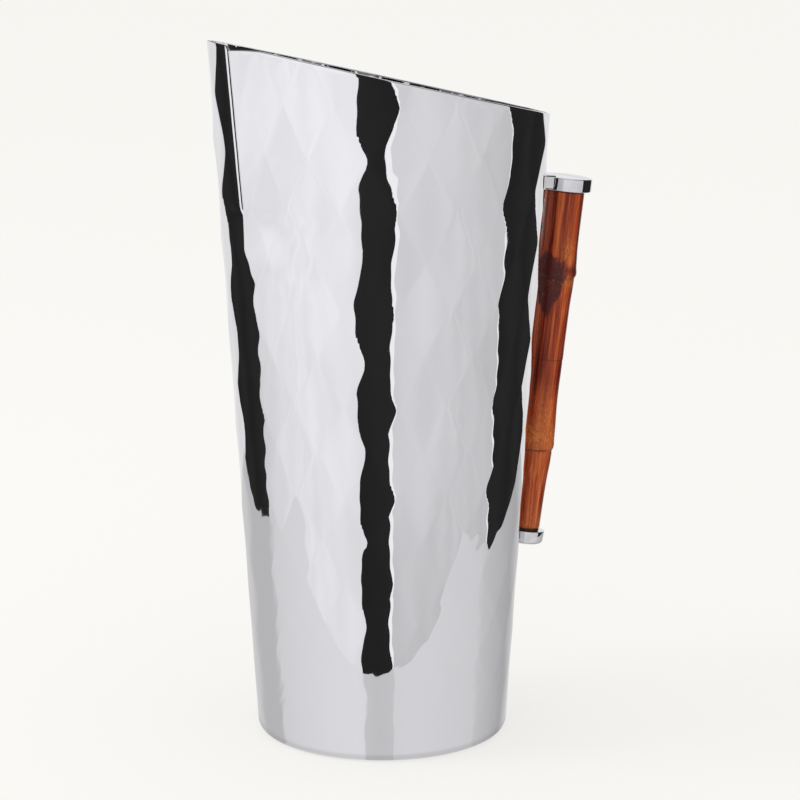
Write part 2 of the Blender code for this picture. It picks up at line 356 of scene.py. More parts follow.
def lathe(name, profile, material, steps=128, ring=False, crisp=35, place=HANDLE):
    """Turns (radius, height) points about Z. The profile runs up its outer side."""
    points, rows = [], []
    for radius, height in profile:
        if radius < 1e-7:
            rows.append([len(points)] * steps)
            points.append((0, 0, height))
            continue
        rows.append(list(range(len(points), len(points) + steps)))
        points += [
            (radius * cos(2 * pi * i / steps), radius * sin(2 * pi * i / steps), height)
            for i in range(steps)
        ]
    return make_piece(name, points, skin(rows, ring), material, crisp, place)


def clean(obj, crisp, gap=0.0):
    """Turns a closed mesh's faces outwards, joins corners within a gap, and shades it."""
    bm = bmesh.new()
    bm.from_mesh(obj.data)
    if gap:
        bmesh.ops.remove_doubles(bm, verts=bm.verts, dist=gap)
    bmesh.ops.recalc_face_normals(bm, faces=bm.faces)
    bm.to_mesh(obj.data)
    bm.free()
    obj.data.shade_smooth()
    obj.data.set_sharp_from_angle(angle=radians(crisp))


def join_solids(obj, other):
    """Unites obj with another solid, which then goes."""
    modifier = obj.modifiers.new("join", "BOOLEAN")
    modifier.operation = "UNION"
    modifier.solver = "EXACT"
    modifier.object = other
    bpy.context.view_layer.update()
    evaluated = obj.evaluated_get(bpy.context.evaluated_depsgraph_get())
    mesh = bpy.data.meshes.new_from_object(evaluated)
    obj.modifiers.clear()
    obj.data = mesh
    bpy.data.objects.remove(other)


def smooth_step(value):
    """0 below 0 and 1 above 1, smooth between."""
    t = np.clip(value, 0, 1)
    return t * t * (3 - 2 * t)


def bell(value, centre, width):
    """A smooth bump of height 1."""
    return np.exp(-((value - centre) / width) ** 2)


def turn_from(turn, centre):
    """How far an angle is past another, in degrees from -180 to 180."""
    return (turn - centre + 180) % 360 - 180


# ---- Body: the wall with its diamond relief, the spout's crease and the rolled rim ----

# Diamond relief: two families of creases that wind up the wall in opposite directions.
CELLS = 18  # diamonds round the wall
CELL_TURN = 360 / CELLS  # degrees
CELL_RISE = 0.62  # height of a diamond per unit of radius
CELL_STEPS = 22  # mesh columns and rows in one diamond
FIRST_TURN = -124.6  # degrees, where two creases cross
FIRST_HEIGHT = 219 * MM
RELIEF_DEPTHS = (  # height and depth of the facets there, in mm
    (20, 0.12), (45, 0.18), (80, 0.23), (120, 0.28), (150, 0.33), (205, 0.48), (220, 0.62),
    (232, 0.52), (245, 0.32),
)
RELIEF_VARIATION = 0.24
RELIEF_MEAN = 0.62  # share of the depth by which the creases stand out of the CAD wall
UNEVEN_SPOTS = (  # place and size of a spot in diamonds, across and up, and its change
    (0, -1.0, 0.5, 0.28, -0.80), (0.5, 0.05, 0.45, 0.33, 0.60), (3, 0, 0.5, 0.35, -0.90),
)

# Spout: a crease runs down from the tip at -X. Across it, +s is towards -Y, the sunk side.
SPOUT_TURN = 180.0
CREASE_LENGTH = 60 * MM
CREASE_TURNS = (-0.1, 2.5)  # degrees from SPOUT_TURN, at the tip and at the end
CREASE_RUN_OUT = 3 * MM
CREASE_STEP = 0.78 * MM
CREASE_CREST = 0.58 * MM  # radius of the step's crest
CREASE_FACE = radians(73)
CREASE_RAISE = 0.45 * MM  # how far the crest stands out at the tip
CREASE_REACH = 26 * MM
HOLLOW_DEPTH = 1.18 * MM  # the sunk side goes on falling
HOLLOW_WIDTH = 16 * MM
HOLLOW_END = 74 * MM
HOLLOW_FADE = 22 * MM  # below the crease's end
LIP_DROP = 1.9 * MM  # how much lower the rim is on the sunk side
LIP_DROP_REACH = 18 * MM
SQUEEZE_TURN = 150.0  # degrees
SQUEEZE_WIDTH = 12.0  # degrees
SQUEEZE_DEPTH = 0.12 * MM
SQUEEZE_REACH = 38 * MM  # below the rim
CREASE_COLUMNS = (
    -3.0, -2.3, -1.7, -1.2, -0.8, -0.5, -0.25, -0.1, 0.0, 0.1, 0.19, 0.27, 0.34, 0.40, 0.45,
    0.49, 0.52, 0.54, 0.555, 0.645, 0.66, 0.672, 0.70, 0.78, 0.9, 1.15, 1.5, 2.0, 2.5, 3.1,
)                             # mm from the crease
CREASE_CLEAR = 3.5  # mm
CREASE_RADIUS = wall_radius(235 * MM)

WALL = BODY["wall"]
LIP_RADIUS = 0.45 * MM
INNER_STRIDE = 3  # the inner wall has every third row
INNER_RELIEF = 0.25  # share of the relief inside, which keeps its reflections calm


def crease_distance(turn, swing=0.0):
    """Signed distance round the wall from the spout's generator, turned by swing degrees."""
    return np.radians(turn_from(turn, SPOUT_TURN + swing)) * CREASE_RADIUS


def rim_height(turn):
    """Height of the slanted rim's plane on the outer wall, at an angle in degrees from +X."""
    slope = BODY["rim_tilt"] * np.cos(np.radians(turn))
    height = (BODY["rim_height"] - slope * BODY["base_radius"]) / (1 + slope * BODY["taper"])
    across = crease_distance(turn, CREASE_TURNS[0])
    dip = LIP_DROP * np.clip(1 - across / LIP_DROP_REACH, 0, 1) ** 1.1
    return height - dip * smooth_step(across / (0.9 * MM))


TIP_HEIGHT = float(rim_height(SPOUT_TURN + CREASE_TURNS[0]))


def down_crease(height):
    """0 at the tip and 1 at the crease's end."""
    return np.clip((TIP_HEIGHT - height) / CREASE_LENGTH, 0, 1)


def crease_swing(height):
    """How far the crease has turned from the spout's generator, in degrees."""
    return CREASE_TURNS[0] + (CREASE_TURNS[1] - CREASE_TURNS[0]) * down_crease(height)


def diamond_level(height):
    """How many diamonds a height is above the first crossing."""
    return np.log(wall_radius(height) / wall_radius(FIRST_HEIGHT)) / (CELL_RISE * BODY["taper"])


def level_height(level):
    """The height of a diamond level."""
    radius = wall_radius(FIRST_HEIGHT) * np.exp(level * CELL_RISE * BODY["taper"])
    return (radius - BODY["base_radius"]) / BODY["taper"]


def relief(across, height, turn):
    """How far the hammered facets sink below the wall. across counts diamonds round the wall."""
    level = diamond_level(height)
    valleys = 0
    for crease in (across + level, across - level):
        share = crease % 1
        valleys = valleys + 4 * share * (1 - share)
    depth = np.interp(height / MM, *zip(*RELIEF_DEPTHS)) * MM
    wave = np.sin(across * 2.2 + level * 1.3 + 0.7) + np.sin(across * 0.9 - level * 2.1)
    depth = depth * (1 + RELIEF_VARIATION * wave / 2)
    fade = smooth_step((height - 3 * MM) / (12 * MM))
    away = crease_distance(turn)
    calm = np.where(away > 0, away / (20 * MM), -away / (9 * MM))
    fade = fade * (0.25 + 0.75 * smooth_step(calm))
    front = (across + CELLS / 2) % CELLS - CELLS / 2
    for spot_across, spot_level, width, rise, change in UNEVEN_SPOTS:
        fade = fade * (1 + change * bell(front, spot_across, width) * bell(level, spot_level, rise))
    return depth * (valleys / 2 - RELIEF_MEAN) * fade


def spout_shape(turn, height):
    """How far the wall stands out round the spout's crease. The sunk side is negative."""
    across = crease_distance(turn, crease_swing(height))
    along = down_crease(height)
    below = TIP_HEIGHT - height - CREASE_LENGTH
    turned = np.clip(across, 0, CREASE_CREST * sin(CREASE_FACE))
    drop = CREASE_CREST - np.sqrt(CREASE_CREST ** 2 - turned ** 2)
    drop = np.minimum(CREASE_STEP, drop + np.clip(across - turned, 0, None) * tan(CREASE_FACE))
    raised = CREASE_RAISE * (1 - 0.7 * along) * smooth_step(1 + across / CREASE_REACH)
    fall = 1 - (1 - np.clip(across / HOLLOW_WIDTH, 0, 1)) ** 2
    rise = 1 - smooth_step((across - HOLLOW_WIDTH) / (HOLLOW_END - HOLLOW_WIDTH))
    creased = (raised - drop - HOLLOW_DEPTH * fall) * rise
    near = np.where(across < 0, bell(across, 0, 12 * MM), 1)
    smoothed = -(CREASE_STEP * near + HOLLOW_DEPTH * fall) * rise
    fade = 1 - smooth_step(below / HOLLOW_FADE)
    ended = smooth_step(below / CREASE_RUN_OUT + 1)
    return (creased * (1 - ended) + smoothed * ended) * fade


def squeeze(turn, height):
    """How far the wall is pressed in beside the spout, where the lip was formed."""
    near_rim = smooth_step((height - rim_height(turn) + SQUEEZE_REACH) / SQUEEZE_REACH)
    return SQUEEZE_DEPTH * bell(turn_from(turn, SQUEEZE_TURN), 0, SQUEEZE_WIDTH) * near_rim


def ripple(turn, height):
    """The faint unevenness of hand polishing."""
    around = np.radians(turn)
    waves = np.sin(31 * around + height / (2.3 * MM)) + np.sin(44 * around - height / (1.6 * MM) + 1)
    waves = waves + np.sin(23 * around + height / (5.1 * MM) + 2)
    return 0.007 * MM * waves * smooth_step(height / (15 * MM))


def outer_radius(turn, across, height, share=1.0):
    """The finished outer radius of the wall, with a share of its relief."""
    return (
        wall_radius(height) - share * relief(across, height, turn)
        + spout_shape(turn, height) - squeeze(turn, height) + ripple(turn, height)
    )


def body_columns():
    """Each mesh column's place round the wall, in diamonds, and its index in the regular grid.

    Columns beside the crease have index -1.
    """
    columns = []
    for i in range(CELLS * CELL_STEPS):
        across = i / CELL_STEPS
        turn = FIRST_TURN + across * CELL_TURN
        if abs(crease_distance(turn)) > CREASE_CLEAR * MM:
            columns.append((across, i))
    for away in CREASE_COLUMNS:
        turn = SPOUT_TURN + np.degrees(away * MM / CREASE_RADIUS)
        columns.append((((turn - FIRST_TURN) / CELL_TURN) % CELLS, -1))
    columns.sort()
    return np.array([c[0] for c in columns]), [c[1] for c in columns]


def wandering(across, level):
    """Small smooth shifts of the grid, in diamonds, so that the creases aren't ruled lines."""
    turn = across * 2 * pi / CELLS
    shift = 0.030 * np.sin(5 * turn + 1.7 * level) + 0.022 * np.sin(8 * turn - 2.3 * level + 1.1)
    rise = 0.028 * np.sin(6 * turn + 1.2 * level + 2.0) + 0.02 * np.sin(9 * turn - 1.9 * level)
    return shift, rise


def make_body():
    """The whole wall as one closed mesh of rings: foot, corner, outer wall, rim, inner wall."""
    across, grid = body_columns()
    count = len(across)
    first_row = int(np.ceil(diamond_level(BODY["corner_radius"]) * CELL_STEPS)) + 1
    last_row = int(diamond_level(TIP_HEIGHT) * CELL_STEPS) + 1
    levels = np.arange(first_row, last_row + 1) / CELL_STEPS
    base_turn = FIRST_TURN + across * CELL_TURN
    free = 1 - bell(crease_distance(base_turn), 0, 9 * MM)
    shift, rise = wandering(across[None, :], levels[:, None])
    turns = base_turn[None, :] + shift * free * CELL_TURN
    low_fade = smooth_step((levels[:, None] - levels[0]) * 1.5)
    heights = level_height(levels[:, None] + rise * free * low_fade)
    turns = turns + crease_swing(heights) * (1 - free)
    tops = rim_height(turns) - LIP_RADIUS

    # In each column the row nearest to the rim moves onto it, and the rows above fold into it.
    spacing = level_height(levels[-1]) - level_height(levels[-2])
    last = (heights < tops - spacing / 2).sum(axis=0)
    top_index = np.minimum(last, len(levels) - 1)
    columns = np.arange(count)
    top_turn, top_height = turns[top_index, columns], tops[top_index, columns]
    points = []

    def add_ring(turn, radius, height):
        """Adds one ring of vertices and returns their numbers."""
        angle = np.radians(turn)
        points.append(np.stack([radius * np.cos(angle), radius * np.sin(angle), height], axis=1))
        return np.arange(count) + count * (len(points) - 1)

    def level_rings(profile):
        """One level ring for each radius and height of a profile."""
        return [
            add_ring(turns[0], np.full(count, radius), np.full(count, height))
            for radius, height in profile
        ]

    lean = BODY["lean"]
    corner = BODY["corner_radius"]
    centre = (wall_radius(corner) - corner / cos(lean), corner)
    foot = BODY["foot_radius"]
    rings = level_rings([(foot, 0), ((foot + centre[0]) / 2, 0)])
    rings += level_rings(arc(centre, corner, -90, -np.degrees(lean), 7))

    def wall_rings(rows, inset):
        """Rings up one face of the wall, folded at the rim."""
        numbers, previous_row = [], 0
        for row in rows:
            at_top = row >= top_index
            height = np.where(at_top, top_height, heights[row])
            turn = np.where(at_top, top_turn, turns[row])
            share = INNER_RELIEF if inset else 1.0
            radius = outer_radius(turn, across, height, share) - inset
            ring = add_ring(turn, radius, height)
            if numbers:
                ring = np.where(at_top & (previous_row >= top_index), numbers[-1], ring)
            numbers.append(ring)
            previous_row = row
        return numbers

    outer = wall_rings(range(len(levels)), 0)
    outer_start = len(rings)
    rings += outer

    top_radius = outer_radius(top_turn, across, top_height)
    rise_inwards = BODY["rim_tilt"] * np.cos(np.radians(top_turn))
    lip = arc((LIP_RADIUS, -LIP_RADIUS), LIP_RADIUS, 180, 90, 4)[1:]
    lip += arc((WALL - LIP_RADIUS, -LIP_RADIUS), LIP_RADIUS, 90, 0, 4)[:-1]
    for inset, height in lip:
        level = top_height + LIP_RADIUS + height + rise_inwards * inset
        rings.append(add_ring(top_turn, top_radius - inset, level))

    inner_rows = [*range(0, len(levels) - 1, INNER_STRIDE), len(levels) - 1]
    rings += wall_rings(inner_rows, WALL)[::-1]
    rings += level_rings(arc(centre, corner - WALL, -np.degrees(lean), -90, 5) + [(foot, WALL)])

    faces = []
    pairs = list(zip(rings, rings[1:])) + [(rings[-1], rings[0])]
    for number, (low, high) in enumerate(pairs):
        row = number - outer_start
        if 0 <= row < len(outer) - 1:
            faces += crease_faces(low, high, grid, first_row + row)
        else:
            faces += bridge(low, high)
    points = np.concatenate(points)
    used = sorted({corner for face in faces for corner in face})
    renumber = {old: new for new, old in enumerate(used)}
    faces = [[renumber[corner] for corner in face] for face in faces]
    body = make_piece("body_wall", points[used], faces, STEEL, crisp=60)
    hand_in(body, "polished_steel", "body_shell")


def crease_faces(low, high, grid, row):
    """Faces of one band of the outer wall, cut along the creases that cross it."""
    faces = []
    count = len(low)
    for i in range(count):
        j = (i + 1) % count
        a, b, c, d = (int(v) for v in (low[i], low[j], high[j], high[i]))
        regular = grid[i] >= 0 and grid[j] >= 0 and len({a, b, c, d}) == 4
        if regular and (grid[i] - row) % CELL_STEPS == 0:
            faces += [[a, b, c], [a, c, d]]
        elif regular and (grid[i] + row + 1) % CELL_STEPS == 0:
            faces += [[a, b, d], [b, c, d]]
        else:
            faces += bridge(low[[i, j]], high[[i, j]], closed=False)
    return faces


make_body()
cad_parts["base_plate"].data.materials.clear()
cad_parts["base_plate"].data.materials.append(SPUN)


# ---- Brackets and saddle pads ----

def rounded_bar(name, half_width, low, high, start, end, edge):
    """A bar along the handle frame's X axis, with rounded long edges."""
    outline = rounded_outline((-half_width, low), (half_width, high), edge, 6)
    rows, points = [], []
    for x in (start, end):
        rows.append(list(range(len(points), len(points) + len(outline))))
        points += [(x, y, z) for y, z in outline]
    faces = bridge(rows[0], rows[1]) + [rows[0][::-1], rows[1]]
    return make_piece(name, points, faces, STEEL, place=HANDLE)


def make_bracket(end, profile, ring, edge):
    """A cap and its arm. The arm ends inside its pad."""
    node = end + "_bracket"
    points = in_handle(node)
    cap_radius = points[:, 0].max()
    cap = lathe(end + "_cap", profile, STEEL, ring=ring)
    arm = points[points[:, 0] < -1.2 * cap_radius]
    start = -0.8 * cap_radius
    reach = in_handle(end + "_pad")[:, 0].max() - 0.8 * MM
    bar = rounded_bar(
        end + "_arm", arm[:, 1].max(), arm[:, 2].min(), arm[:, 2].max(), start, reach, edge)
    clean(bar, 50)
    clean(cap, 35)
    join_solids(cap, bar)
    cap.data.shade_smooth()
    cap.data.set_sharp_from_angle(angle=radians(35))
    hand_in(cap, "polished_steel", node)


def cap_size(end):
    """A cap's radius and its lowest and highest point, on the handle."""
    points = in_handle(end + "_bracket")
    return points[:, 0].max(), points[:, 2].min(), points[:, 2].max()


def upper_cap_profile():
    """A thick, slightly domed disc with eased edges, and the gasket's recess in its underside."""
    radius, low, high = cap_size("upper")
    recess = span("upper_gasket")[1] + 0.3 * MM
    edge, dome = 0.4 * MM, 0.9 * MM
    return (
        [(0, low + 0.6 * MM), (recess, low + 0.6 * MM), (recess, low)]
        + arc((radius - edge, low + edge), edge, -90, 0, 6)
        + arc((radius - edge, high - dome - edge), edge, 0, 75, 6)
        + [((radius - 0.7 * edge) * share, high - dome * share ** 2)
           for share in (0.9, 0.8, 0.7, 0.6, 0.45, 0.3, 0.15, 0)]
    )


def lower_cap_profile():
    """A cup that narrows a little downwards, with the nut's counterbore below."""
    radius, low, high = cap_size("lower")
    recess = span("lower_gasket")[1] + 0.3 * MM
    hole, washer_radius, _, washer_top = span("rod_washer")
    ceiling, bore = washer_top + 0.3 * MM, washer_radius + 0.4 * MM
    edge, top_edge, draft = 1.3 * MM, 0.3 * MM, 0.3 * MM
    return (
        [(hole, ceiling), (bore - 0.2 * MM, ceiling), (bore, ceiling - 0.2 * MM)]
        + [(bore, low + 0.25 * MM), (bore + 0.2 * MM, low)]
        + arc((radius - draft - edge, low + edge), edge, -90, 0, 8)
        + arc((radius - top_edge, high - top_edge), top_edge, 0, 90, 4)
        + [(recess, high), (recess, high - 0.4 * MM), (hole, high - 0.4 * MM)]
    )


def make_pad(end):
    """A stadium-shaped saddle pad that follows the wall, with a rounded edge."""
    low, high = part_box(end + "_pad")
    half_width = high.y
    round_radius = (high.z - low.z) / 2
    side = half_width - round_radius
    middle = (low.z + high.z) / 2
    thickness, sunk, edge = 1.3 * MM, -0.55 * MM, 0.7 * MM
    profile = [(0, sunk)] + arc((edge, thickness - edge), edge, 180, 90, 6)
    profile += [(round_radius * share, thickness) for share in (0.35, 0.6, 0.85, 1.0)]
    outline = []  # the centre of the end's curve, and the direction from it
    for end_centre, first in ((side, -90), (-side, 90)):
        outline += [(end_centre, *way) for way in arc((0, 0), 1, first, first + 180, 24)[:-1]]
        outline += [(end_centre * (1 - i / 3), 0, -first / 90) for i in range(6)]
    points, rows = [], []
    for inset, offset in profile:
        ring = []
        for centre, out, up in outline:
            reach = round_radius - inset
            y, z = centre + out * reach, middle + up * reach
            radius = wall_radius(z) + offset
            angle = y / radius
            ring.append(len(points))
            points.append((radius * cos(angle), radius * sin(angle), z))
        rows.append(ring)
    pad = make_piece(end + "_saddle", points, skin(rows) + [rows[0][::-1]], STEEL)
    clean(pad, 50, 0.005 * MM)
    hand_in(pad, "polished_steel", end + "_pad")


make_bracket("upper", upper_cap_profile(), False, 0.9 * MM)
make_bracket("lower", lower_cap_profile(), True, 0.8 * MM)
make_pad("upper")
make_pad("lower")


# ---- Cane ----

CANE_COLUMNS = 112
CANE_ROW = 0.45 * MM
UPPER_NODE = 96.5 * MM  # ledges of the three nodes, above the lower cap
MIDDLE_NODE = 65.3 * MM
LOWER_NODE = 31.4 * MM
VIEW_TURN = -120.0  # degrees from +X: the cane's side that faces the main view


def cane_profile(heights):
    """The CAD cane's radius at some heights, smoothed between its rings."""
    points = in_handle("bamboo_grip")
    radii = np.hypot(points[:, 0], points[:, 1])
    outside = points[radii > 3.5 * MM]
    radii = radii[radii > 3.5 * MM]
    rings = np.unique(outside[:, 2].round(5))
    sizes = np.array([radii[abs(outside[:, 2] - ring) < 0.02 * MM].max() for ring in rings])
    fine = np.arange(rings[0] - 12 * MM, rings[-1] + 12 * MM, 0.25 * MM)
    values = np.interp(fine, rings, sizes)
    kernel = np.exp(-(np.arange(-12, 13) / 6.0) ** 2)
    values = np.convolve(values, kernel / kernel.sum(), mode="same")
    return np.interp(heights, fine, values)


def above_node(node, turn, height):
    """Height above a node's ledge, which is a little tilted."""
    return height - node - 0.35 * MM * np.sin(np.radians(turn) + 0.6)


def cane_detail(turn, height):
    """Ledges and scars at the nodes, and the slight flutes and wander of a real cane."""
    around = np.radians(turn)
    shape = 0 * turn
    for node, lift, bite in (
        (UPPER_NODE, 0.30, 0.26), (MIDDLE_NODE, 0.03, 0.08), (LOWER_NODE, 0.22, 0.26),
    ):
        ledge = above_node(node, turn, height)
        shape = shape + lift * MM * bell(ledge, 1.3 * MM, 1.5 * MM)
        shape = shape - bite * MM * bell(ledge, -0.7 * MM, 0.8 * MM)
        shape = shape - bite * 0.5 * MM * bell(ledge, -2.5 * MM, 2.0 * MM)
    flutes = 0.06 * np.sin(5 * around + 0.8) + 0.05 * np.sin(8 * around + 2.1)
    flutes = flutes + 0.10 * np.cos(around * 2 + height / (40 * MM))
    wander = 0.035 * np.sin(height / (9 * MM) + 3 * around) * np.sin(height / (23 * MM))
    return shape + (flutes + wander) * MM


def bands_at(turn, bands):
    """The sum of soft bands along the cane: centre and width in degrees, and strength."""
    total = 0 * turn
    for centre, width, strength in bands:
        total = total + strength * bell(turn_from(turn, VIEW_TURN + centre), 0, width)
    return total


# Long lighter and darker bands between the nodes. Angles count from the main view's middle line.
UPPER_BANDS = (
    (-80, 10, -0.25), (-52, 8, 0.08), (-36, 5, -0.26), (-16, 9, 0.40), (-2, 3.5, -0.30),
    (14, 9, 0.04), (34, 8, 0.26), (66, 15, -0.42), (115, 14, 0.30), (140, 10, -0.25),
    (165, 12, 0.25), (-150, 14, -0.15), (-118, 12, 0.32), (-95, 9, -0.2),
)
MIDDLE_BANDS = (
    (-74, 10, 0.16), (-50, 8, 0.20), (-30, 5, -0.24), (-12, 4, -0.10), (6, 10, 0.12),
    (26, 9, 0.16), (46, 5, -0.05), (66, 14, -0.30), (112, 16, 0.28), (142, 12, -0.2),
    (170, 12, 0.2), (-142, 12, -0.2), (-110, 12, 0.22),
)
LOWER_BANDS = (
    (-75, 12, 0.05), (-48, 12, -0.14), (-12, 10, 0.06), (12, 14, 0.26), (34, 10, 0.14),
    (68, 14, -0.34), (120, 16, 0.15), (155, 14, -0.12), (-150, 12, 0.14), (-110, 12, -0.12),
)


def cane_streak(turn, height):
    """From 0, maroon, to 1, orange."""
    swing = 6 * np.sin(height / (27 * MM) + 0.5)
    upper = smooth_step((height - UPPER_NODE) / (4 * MM))
    lower = smooth_step((MIDDLE_NODE - 7 * MM - height) / (17 * MM))
    middle = 1 - upper - lower * (1 - upper)
    tone = 0.46 * upper + 0.40 * middle + 0.58 * lower * (1 - upper)
    tone = tone - 0.10 * bell(height, MIDDLE_NODE - 6 * MM, 6 * MM)
    tone = tone + upper * bands_at(turn + swing, UPPER_BANDS)
    tone = tone + middle * bands_at(turn + swing, MIDDLE_BANDS)
    return tone + lower * (1 - upper) * bands_at(turn, LOWER_BANDS)


def cane_stain(turn, height):
    """The dark stain on the upper node, which runs down one side, with others behind."""
    total = 0 * turn
    for centre, spread, top, bottom in ((-28, 62, 9, 15.5), (100, 40, 6, 8), (-150, 50, 5, 11)):
        away = turn_from(turn, VIEW_TURN + centre)
        edge = 0.16 * np.sin(away / 9 + height / (2.6 * MM))
        edge = edge + 0.10 * np.sin(away / 4 - height / (1.4 * MM))
        below = (UPPER_NODE - height) / (bottom * MM)
        above = (height - UPPER_NODE) / (top * MM)
        size = np.where(height < UPPER_NODE, below, above)
        width = spread * (1 - 0.35 * np.clip(below, 0, 1))
        inside = 1 - np.sqrt((away / width) ** 2 + np.clip(size, 0, None) ** 2) + edge * 0.55
        total = np.maximum(total, smooth_step(inside / 0.16))
    collar = bell(height, UPPER_NODE + 2.6 * MM, 1.7 * MM) * 0.85
    return np.maximum(total, collar)


def cane_scar(turn, height):
    """The thin dark lines in the nodes' grooves."""
    upper = bell(above_node(UPPER_NODE, turn, height), -0.3 * MM, 0.35 * MM) * 0.55
    middle = bell(above_node(MIDDLE_NODE, turn, height), 0, 0.22 * MM) * 0.65
    wave = 0.5 + 0.5 * np.sin(3 * np.radians(turn) + 1.0)
    lower = bell(above_node(LOWER_NODE, turn, height), -0.2 * MM, 0.40 * MM) * (0.35 + 0.55 * wave)
    return np.clip(upper + middle + lower, 0, 1)


def cane_wear_and_highlight(turn, height):
    """Paler, rougher orange above and below the ledges: partly skin worn there, partly a painted
    highlight on the ledges and the lit front.
    """
    around = np.radians(turn)
    lower = bell(height, LOWER_NODE + 4.5 * MM, 4.5 * MM) * (0.85 + 0.15 * np.sin(2 * around))
    wide = bands_at(turn, ((14, 34, 1), (170, 60, 1)))
    lower = lower + 0.55 * bell(height, LOWER_NODE + 14 * MM, 9 * MM) * wide
    below = bell(height, UPPER_NODE - 2.0 * MM, 1.6 * MM) * 0.8
    above = bell(height, UPPER_NODE + 10 * MM, 5 * MM) * bands_at(turn, ((28, 22, 0.8), (150, 25, 0.7)))
    foot = smooth_step((12 * MM - height) / (12 * MM)) * 0.5
    return np.clip(lower + below + above + foot, 0, 1)


def make_cane():
    """The cane as one closed mesh, with its stains as numbers at its vertices."""
    bore, _, low, high = span("bamboo_grip")
    rows = int((high - low) / CANE_ROW)
    turns = np.arange(CANE_COLUMNS) * 360 / CANE_COLUMNS
    chamfer = 0.55 * MM
    heights = [low] + list(np.linspace(low + chamfer, high - 0.2 * MM, rows)) + [high]
    sizes = cane_profile(np.array(heights))
    sizes[0] -= chamfer * 0.6
    sizes[-1] -= 0.2 * MM
    turn, height = np.meshgrid(turns, heights)
    radius = sizes[:, None] + cane_detail(turn, height)
    turn = np.vstack([turn, turns, turns])
    height = np.vstack([height, np.full(CANE_COLUMNS, high), np.full(CANE_COLUMNS, low)])
    radius = np.vstack([radius, np.full((2, CANE_COLUMNS), bore)])
    angle = np.radians(turn)
    mesh_points = np.stack([radius * np.cos(angle), radius * np.sin(angle), height], axis=-1)
    rings = np.arange(turn.size).reshape(turn.shape)
    faces = skin(list(rings), closed=True)
    cane = make_piece("bamboo_cane", mesh_points.reshape(-1, 3), faces, BAMBOO, 60, HANDLE)
    for name, field in (
        ("streak", cane_streak), ("stain", cane_stain), ("scar", cane_scar), ("glow", cane_wear_and_highlight),
    ):
        attribute = cane.data.attributes.new(name, "FLOAT", "POINT")
        attribute.data.foreach_set("value", field(turn, height).ravel().astype(np.float32))
    hand_in(cane, "bamboo", "bamboo_grip")


make_cane()


# ---- Gaskets, tie rod, washer and nut ----

def soft_ring(name, inner, outer, low, high, edge, material):
    """A ring with rounded edges."""
    profile = rounded_outline((inner, low), (outer, high), edge, 4)
    return lathe(name, profile, material, steps=96, ring=True)


def make_gaskets():
    """The gaskets fill the room between each cap and the cane."""
    _, _, cane_low, cane_high = span("bamboo_grip")
    for end in ("lower", "upper"):
        inner, outer, low, high = span(end + "_gasket")
        low, high = (low, cane_low) if end == "lower" else (cane_high, high)
        ring = soft_ring(end + "_seal", inner, outer, low, high, 0.12 * MM, FIBRE)
        hand_in(ring, "black_fibre", end + "_gasket")


def make_rod():
    """The tie rod, with thread turns cut in its lower end."""
    _, radius, low, high = span("tie_rod")
    pitch, depth = 0.7 * MM, 0.28 * MM
    profile = [(0, low), (radius - depth, low)]
    for i in range(10):
        crest = low + depth + pitch * i
        profile += [(radius, crest + 0.05 * MM), (radius, crest + 0.15 * MM)]
        profile += [(radius - depth, crest + 0.40 * MM), (radius - depth, crest + 0.48 * MM)]
    profile += [(radius, low + depth + pitch * 10), (radius, high - 0.3 * MM)]
    profile += [(radius - 0.3 * MM, high), (0, high)]
    rod = lathe("threaded_rod", profile, TURNED, steps=64)
    hand_in(rod, "plain_steel", "tie_rod")


def make_washer():
    """The washer, with its edges eased."""
    ring = soft_ring("flat_washer", *span("rod_washer"), 0.1 * MM, TURNED)
    hand_in(ring, "plain_steel", "rod_washer")


def make_nut():
    """A hexagonal nut with chamfered corners and a countersunk hole."""
    points = in_handle("rod_nut")
    spot = points[np.hypot(points[:, 0], points[:, 1]).argmax()]
    first = atan2(spot[1], spot[0])
    hole, corner, low, high = span("rod_nut")
    flat = corner * cos(pi / 6)
    face, sink, steps = flat * 0.97, 0.25 * MM, 72
    mesh_points = []
    for i in range(steps):
        turn = 2 * pi * i / steps
        hexagon = flat / cos(turn % (pi / 3) - pi / 6)
        over = (hexagon - face) * tan(radians(30))
        profile = (
            (hole, high - sink), (hole + sink, high), (face, high), (hexagon, high - over),
            (hexagon, low + over), (face, low), (hole + sink, low), (hole, low + sink),
        )
        for radius, height in profile:
            mesh_points.append((radius * cos(first + turn), radius * sin(first + turn), height))
    rings = [list(range(k, len(mesh_points), len(profile))) for k in range(len(profile))]
    nut = make_piece("hex_nut", mesh_points, skin(rings, closed=True), TURNED, 25, HANDLE)
    clean(nut, 20)
    hand_in(nut, "plain_steel", "rod_nut")


make_gaskets()
make_rod()
make_washer()
make_nut()


# ---- Studio: floor, soft light, and the cards that the polished wall mirrors ----

CAMERA_TURN = radians(-30)
CAMERA_RISE = radians(13.11)
CAMERA_DISTANCE = 1.238
AIM_HEIGHT = 122.5 * MM
AIM_RIGHT = 6.6 * MM
CAMERA_LENS = 153.9  # mm, on a 36 mm sensor
WARM_WHITE = (0.939, 0.930, 0.896, 1)

TOWARDS = Vector((sin(CAMERA_TURN), -cos(CAMERA_TURN), 0))  # level, towards the camera
RIGHT = Vector((cos(CAMERA_TURN), sin(CAMERA_TURN), 0))  # to the camera's right


def studio(right, towards, up):
    """A point by its distance to the camera's right, towards the camera, and up, in metres."""
    return RIGHT * right + TOWARDS * towards + Vector((0, 0, up))


def card_light():
    """An emitting material for the cards, as bright as the mesh's "tone" says."""
    made = Nodes("card_light", bare=True)
    glow = made.add("ShaderNodeEmission", {"Strength": made.attribute("tone")})
    made.material.cycles.emission_sampling = "NONE"
    return made.output(glow.outputs[0])


CARD_LIGHT = card_light()


